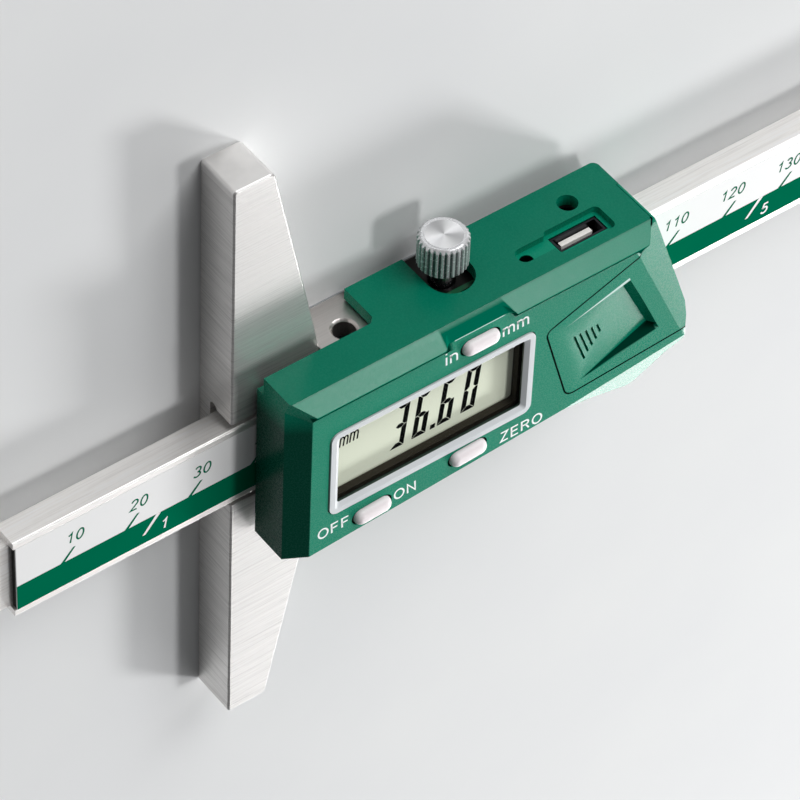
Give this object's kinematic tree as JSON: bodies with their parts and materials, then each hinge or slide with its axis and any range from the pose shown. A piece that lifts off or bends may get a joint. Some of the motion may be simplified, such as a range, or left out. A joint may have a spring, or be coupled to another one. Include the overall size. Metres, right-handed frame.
{
  "type": "depth gauge",
  "caption": "Digital depth gauge with a wide steel base, a sliding beam with a printed scale, a green plastic display housing, three buttons and a clamp screw.",
  "frame": {"origin": "on the base's measuring face, on the beam's middle line, halfway up the web behind the beam", "axes": "+X along the beam from its tip to its tail, out of the measuring face's back; +Y along the base towards the clamp knob; +Z out of the display"},
  "size_m": [0.2266, 0.102, 0.0169],
  "materials": {
    "base_steel": "ground and brushed across the bar",
    "beam_steel": "satin, brushed along the beam",
    "scale_board": "glass-fibre circuit board",
    "label": "printed film, white with a green band and green and white scale marks",
    "brass": "bare brass",
    "screws": "bright plated steel",
    "frame_steel": "satin stainless steel",
    "back_label": "satin label plate",
    "knob": "bright turned steel, fluted round its side",
    "green_plastic": "fine matt green moulding",
    "display": "pale grey-green display glass",
    "rubber": "black rubber",
    "window": "clear acrylic pane",
    "silver_plastic": "silver painted plastic",
    "circuit_board": "green circuit board",
    "white_plastic": "white plastic",
    "black_plastic": "black plastic",
    "cell_steel": "bright nickel-plated steel"
  },
  "bodies": {
    "gauge": {"depth_base": "base_steel", "slider_frame": "frame_steel", "gib_strip": "brass", "gib_screw_front": "screws", "gib_screw_rear": "screws", "base_screw_1": "screws", "base_screw_2": "screws", "back_plate": "back_label", "housing_shell": "green_plastic", "housing_screw_1": "screws", "housing_screw_2": "screws", "housing_screw_3": "screws", "housing_screw_4": "screws", "lcd_panel": "display", "lcd_gasket": "rubber", "lcd_window": "window", "lcd_bezel": "silver_plastic", "zebra_strip_lower": "rubber", "zebra_strip_upper": "rubber", "main_board": "circuit_board", "sensor_board": "circuit_board", "board_link": "rubber", "switch_in_mm": "rubber", "switch_on_off": "rubber", "switch_zero": "rubber", "battery_cup": "black_plastic", "battery": "cell_steel", "contact_lower": "brass", "contact_side": "brass", "port_shell": "screws", "port_tongue": "white_plastic"},
    "sliding_beam": {"beam": "beam_steel", "scale_board": "scale_board", "scale_label": "label", "end_stop": "brass", "end_stop_screw_1": "screws", "end_stop_screw_2": "screws"},
    "clamp_screw": {"clamp_stem": "screws"},
    "clamp_head": {"clamp_knob": "knob"},
    "cover": {"battery_cover": "green_plastic"},
    "in_mm_key": {"button_in_mm": "white_plastic"},
    "on_off_key": {"button_on_off": "white_plastic"},
    "zero_key": {"button_zero": "white_plastic"}
  },
  "joints": [
    {"name": "beam_slide", "type": "slide", "parent": "gauge", "child": "sliding_beam", "axis": [-1, 0, 0], "range_m": [-0.0366, 0.1134]},
    {"name": "clamp_feed", "type": "slide", "parent": "gauge", "child": "clamp_screw", "axis": [0, 1, 0], "range_m": [0, 0.001]},
    {"name": "clamp_turn", "type": "hinge", "parent": "clamp_screw", "child": "clamp_head", "pos_m": [0.0345, 0.02035, 0.00522], "axis": [0, 1, 0], "range_deg": [0, 720]},
    {"name": "cover_slide", "type": "slide", "parent": "gauge", "child": "cover", "axis": [0.998, 0.0628, 0], "range_m": [0, 0.025]},
    {"name": "in_mm_press", "type": "slide", "parent": "gauge", "child": "in_mm_key", "axis": [0, 0, -1], "range_m": [0, 0.0005], "stiffness_N_per_m": 800, "springref_m": -0.0005},
    {"name": "on_off_press", "type": "slide", "parent": "gauge", "child": "on_off_key", "axis": [0, 0, -1], "range_m": [0, 0.0005], "stiffness_N_per_m": 800, "springref_m": -0.0005},
    {"name": "zero_press", "type": "slide", "parent": "gauge", "child": "zero_key", "axis": [0, 0, -1], "range_m": [0, 0.0005], "stiffness_N_per_m": 800, "springref_m": -0.0005}
  ],
  "couplings": [
    {"joint": "clamp_turn", "follows": "clamp_feed", "rad_per_m": 12566}
  ]
}
